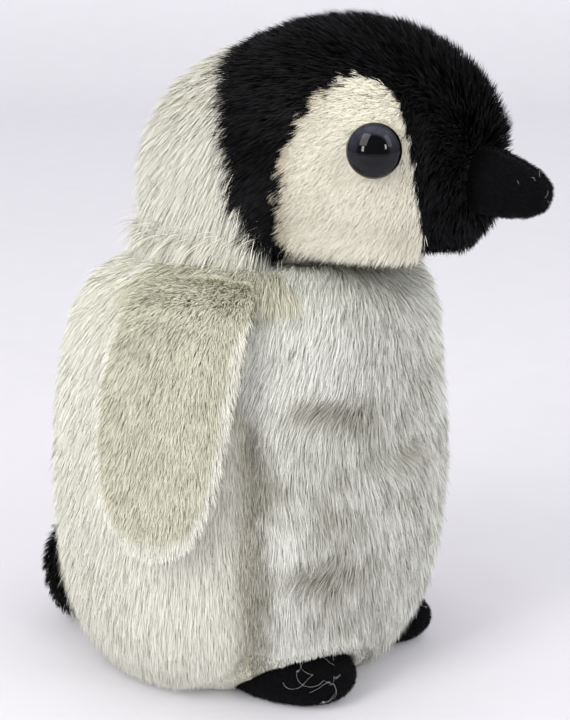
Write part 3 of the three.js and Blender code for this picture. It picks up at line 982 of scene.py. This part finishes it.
def make_foot(side, seed):
    """A felt foot, with loose threads on its toe."""
    nodes = (f"foot_{side}_upper", f"foot_{side}_sole")
    filled = nodes + (f"foot_{side}_stuffing",)
    skin = padded_skin(f"foot_{side}_cover", filled, 0.9 * MM, constant(0.1 * MM), 5)
    keep_outer_shell(skin)
    skin.data.materials.append(BLACK_FELT)
    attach(skin, "torso")
    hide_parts(*nodes)
    add_fuzz(f"foot_{side}_fuzz", skin, "torso", seed)
    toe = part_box(f"foot_{side}_upper")[0].y + 17 * MM

    def on_the_toe(points, normals):
        return (points[:, 1] < toe) & (normals[:, 2] > -0.2) & (points[:, 2] > 3 * MM)

    add_lint(f"foot_{side}_lint", skin, "torso", seed + 20, 9, 30 * MM, on_the_toe)


def add_fuzz(name, skin, body, seed):
    """The short loose fibres that stand off felt."""
    everywhere = np.ones(len(skin.data.polygons), bool)
    pile = pile_settings(
        density=7e6, length=constant(0.9 * MM), width=0.09 * MM, lift=(55, 25), stray=1.2, clumps=(),
        fuzz=0.6, mottle=constant(0.5), gravity=0.0,
    )
    add_fur(name, skin, everywhere, body, FELT_FUZZ, down_flow, pile, seed)


# ---------------------------------------------------------------- lint


LINT_STEP = 0.5 * MM          # between the points along a loose thread
LINT_RADIUS = 0.025 * MM


def add_lint(name, skin, body, seed, count, length, chosen):
    """Pale curly threads on dark felt, started where chosen(points, normals) is true."""
    rng = np.random.default_rng(seed)
    points, normals = vertex_arrays(skin.data)
    spots = np.flatnonzero(chosen(points, normals))
    tree = BVHTree.FromPolygons(points.tolist(), [p.vertices for p in skin.data.polygons])
    curve = bpy.data.curves.new(name, "CURVE")
    curve.dimensions = "3D"
    curve.bevel_depth = LINT_RADIUS
    curve.bevel_resolution = 1
    for _ in range(count):
        start = Vector(points[rng.choice(spots)])
        heading = rng.uniform(0, 2 * math.pi)
        turn = rng.normal(0, 0.15)
        steps = int(rng.uniform(0.4, 1.0) * length / LINT_STEP)
        path = []
        for step in range(steps):
            spot, normal, _, _ = tree.find_nearest(start)
            path.append(spot + normal * (0.35 + 0.5 * abs(math.sin(step * 0.4))) * MM)
            side = normal.orthogonal().normalized()
            along = side * math.cos(heading) + normal.cross(side) * math.sin(heading)
            start = spot + along * LINT_STEP
            turn = 0.95 * turn + rng.normal(0, 0.03)
            heading += turn
        spline = curve.splines.new("POLY")
        spline.points.add(len(path) - 1)
        for point, place in zip(spline.points, path):
            point.co = (*place, 1)
    threads = add_object(f"{name}_threads", curve)
    lint = add_object(name, evaluated_mesh(threads))
    bpy.data.objects.remove(threads)
    lint.data.materials.append(LINT)
    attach(lint, body)


def lint_material():
    made = new_material("lint")
    link(made, noise_colour(made, 400, (0.30, 0.30, 0.30), (0.58, 0.58, 0.57)), "Base Color")
    value(made, "Roughness", 0.8)
    return made


# ---------------------------------------------------------------- eyes


def make_eye(side):
    """A glossy dome with its rim, turned about the CAD eye's own axis."""
    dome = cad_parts[f"eye_{side}_dome"]
    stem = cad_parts[f"eye_{side}_stem"]
    dome_points, _ = vertex_arrays(dome.data)
    stem_points, _ = vertex_arrays(stem.data)
    centre = dome_points.mean(0)
    axis = unit(centre - stem_points.mean(0))
    heights = (dome_points - centre) @ axis
    flat = dome_points - centre - heights[:, None] * axis
    radius = np.linalg.norm(flat, axis=1).max()
    base = centre + axis * heights.min()
    tall = heights.max() - heights.min()
    profile = [(0.0, -0.4 * MM), (radius * 0.96, -0.4 * MM), (radius, 0.0)]
    steps = 14
    for i in range(1, steps + 1):
        turn = i / steps * math.pi / 2
        profile.append((radius * math.cos(turn), tall * math.sin(turn)))
    profile[-1] = (0.0, tall)
    spokes = 64
    side_axis = unit(np.cross(axis, UP))
    up_axis = np.cross(side_axis, axis)
    bm = bmesh.new()
    rings = []
    for r, h in profile:
        turns = [0] if r == 0 else np.arange(spokes) / spokes * 2 * math.pi
        rings.append([
            bm.verts.new(base + axis * h + r * (math.cos(t) * side_axis + math.sin(t) * up_axis))
            for t in turns
        ])
    for lower, upper in zip(rings, rings[1:]):
        for i in range(spokes):
            a, b = lower[i % len(lower)], lower[(i + 1) % len(lower)]
            c, d = upper[(i + 1) % len(upper)], upper[i % len(upper)]
            bm.faces.new(list(dict.fromkeys((a, b, c, d)))).smooth = True
    bmesh.ops.recalc_face_normals(bm, faces=bm.faces)
    mesh = bpy.data.meshes.new(f"eye_{side}")
    bm.to_mesh(mesh)
    bm.free()
    points, _ = vertex_arrays(mesh)
    offset = points - base
    out = np.linalg.norm(offset - (offset @ axis)[:, None] * axis, axis=1) / radius
    level = (offset @ up_axis) / radius / 2 + 0.5
    for label, values in (("radius", out), ("height", level)):
        layer = mesh.attributes.new(label, "FLOAT", "POINT")
        layer.data.foreach_set("value", values.astype(np.float32))
    eye = add_object(f"eye_{side}", mesh)
    mesh.materials.append(EYE)
    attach(eye, "head")
    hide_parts(f"eye_{side}_dome")


# ---------------------------------------------------------------- hidden pieces


def dress_hidden_nodes():
    """The CAD nodes inside the toy keep their shape and get their own materials."""
    for name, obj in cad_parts.items():
        if "stuffing" in name:
            obj.data.materials.clear()
            obj.data.materials.append(FIBREFILL)
        elif name == "pellet_bag":
            obj.data.materials.clear()
            obj.data.materials.append(PELLET_CLOTH)
        elif name.endswith(("_stem", "_washer")):
            obj.data.materials.clear()
            obj.data.materials.append(SHANK)


def shank_material():
    made = new_material("shank_plastic")
    link(made, noise_colour(made, 200, (0.008, 0.008, 0.009), (0.014, 0.014, 0.016)), "Base Color")
    value(made, "Roughness", 0.35)
    return made


# ---------------------------------------------------------------- build everything


GREY_FUR = fur_material(
    "grey_fur",
    [(0.0, (0.50, 0.48, 0.38)), (0.35, (0.78, 0.78, 0.69)), (1.0, (0.95, 0.96, 0.91))],
    [(0.0, (0.13, 0.115, 0.075)), (0.5, (0.28, 0.265, 0.20)), (1.0, (0.52, 0.51, 0.43))],
)
CREAM_FUR = fur_material(
    "cream_fur",
    [(0.0, (0.84, 0.82, 0.70)), (0.4, (0.90, 0.89, 0.78)), (1.0, (0.93, 0.93, 0.84))],
    [(0.0, (0.20, 0.185, 0.12)), (0.5, (0.36, 0.34, 0.25)), (1.0, (0.56, 0.54, 0.44))],
)
NAPE_FUR = fur_material(
    "nape_fur",
    [(0.0, (0.62, 0.60, 0.49)), (0.4, (0.76, 0.75, 0.65)), (1.0, (0.86, 0.86, 0.77))],
    [(0.0, (0.36, 0.34, 0.27)), (0.5, (0.56, 0.54, 0.45)), (1.0, (0.74, 0.73, 0.64))],
)
TAUPE_FUR = fur_material(
    "taupe_fur",
    [(0.0, (0.48, 0.46, 0.34)), (0.5, (0.72, 0.71, 0.56)), (1.0, (0.85, 0.84, 0.70))],
    [(0.0, (0.28, 0.27, 0.19)), (0.5, (0.46, 0.45, 0.33)), (1.0, (0.64, 0.63, 0.50))],
)
IVORY_FUR = fur_material(
    "ivory_fur",
    [(0.0, (0.90, 0.85, 0.68)), (0.5, (0.95, 0.92, 0.77)), (1.0, (0.97, 0.95, 0.83))],
    [(0.0, (0.36, 0.30, 0.20)), (0.5, (0.52, 0.46, 0.34)), (1.0, (0.68, 0.63, 0.50))],
)
# The light set's paler tips are painted highlights on the black pile.
BLACK_FUR = fur_material(
    "black_fur",
    [(0.0, (0.001, 0.0009, 0.0011)), (0.6, (0.004, 0.0037, 0.0045)), (1.0, (0.026, 0.024, 0.026))],
    [(0.0, (0.0008, 0.0008, 0.0008)), (1.0, (0.002, 0.0018, 0.0022))],
    roughness=0.4, specular=0.07,
)
LINT = lint_material()
FELT_FUZZ = fur_material(
    "felt_fuzz",
    [(0.0, (0.002, 0.002, 0.0023)), (1.0, (0.009, 0.009, 0.010))],
    [(0.0, (0.0015, 0.0015, 0.0018)), (1.0, (0.005, 0.005, 0.006))],
    roughness=0.9, specular=0.05,
)
KNIT_GREY = knit_material("knit_grey", (0.22, 0.21, 0.17), (0.34, 0.33, 0.27))
KNIT_CREAM = knit_material("knit_cream", (0.66, 0.64, 0.54), (0.80, 0.78, 0.68))
KNIT_TAUPE = knit_material("knit_taupe", (0.36, 0.34, 0.26), (0.48, 0.46, 0.36))
KNIT_IVORY = knit_material("knit_ivory", (0.62, 0.57, 0.42), (0.74, 0.70, 0.56))
KNIT_BLACK = knit_material("knit_black", (0.003, 0.003, 0.003), (0.007, 0.007, 0.007))
BLACK_FELT = felt_material("black_felt", (0.001, 0.0009, 0.0012), (0.0055, 0.005, 0.006))
EYE = eye_material()
FIBREFILL = stuffing_material("fibrefill", (0.75, 0.75, 0.72), (0.90, 0.90, 0.88))
PELLET_CLOTH = stuffing_material("pellet_cloth", (0.55, 0.54, 0.50), (0.68, 0.67, 0.63))
SHANK = shank_material()

make_camera()
make_studio()
make_torso()
make_head()
for number, side in enumerate(SIDES):
    make_wing(side, 71 + number)
    make_foot(side, 95 + number)
    make_eye(side)
make_tail()
make_beak()
dress_hidden_nodes()
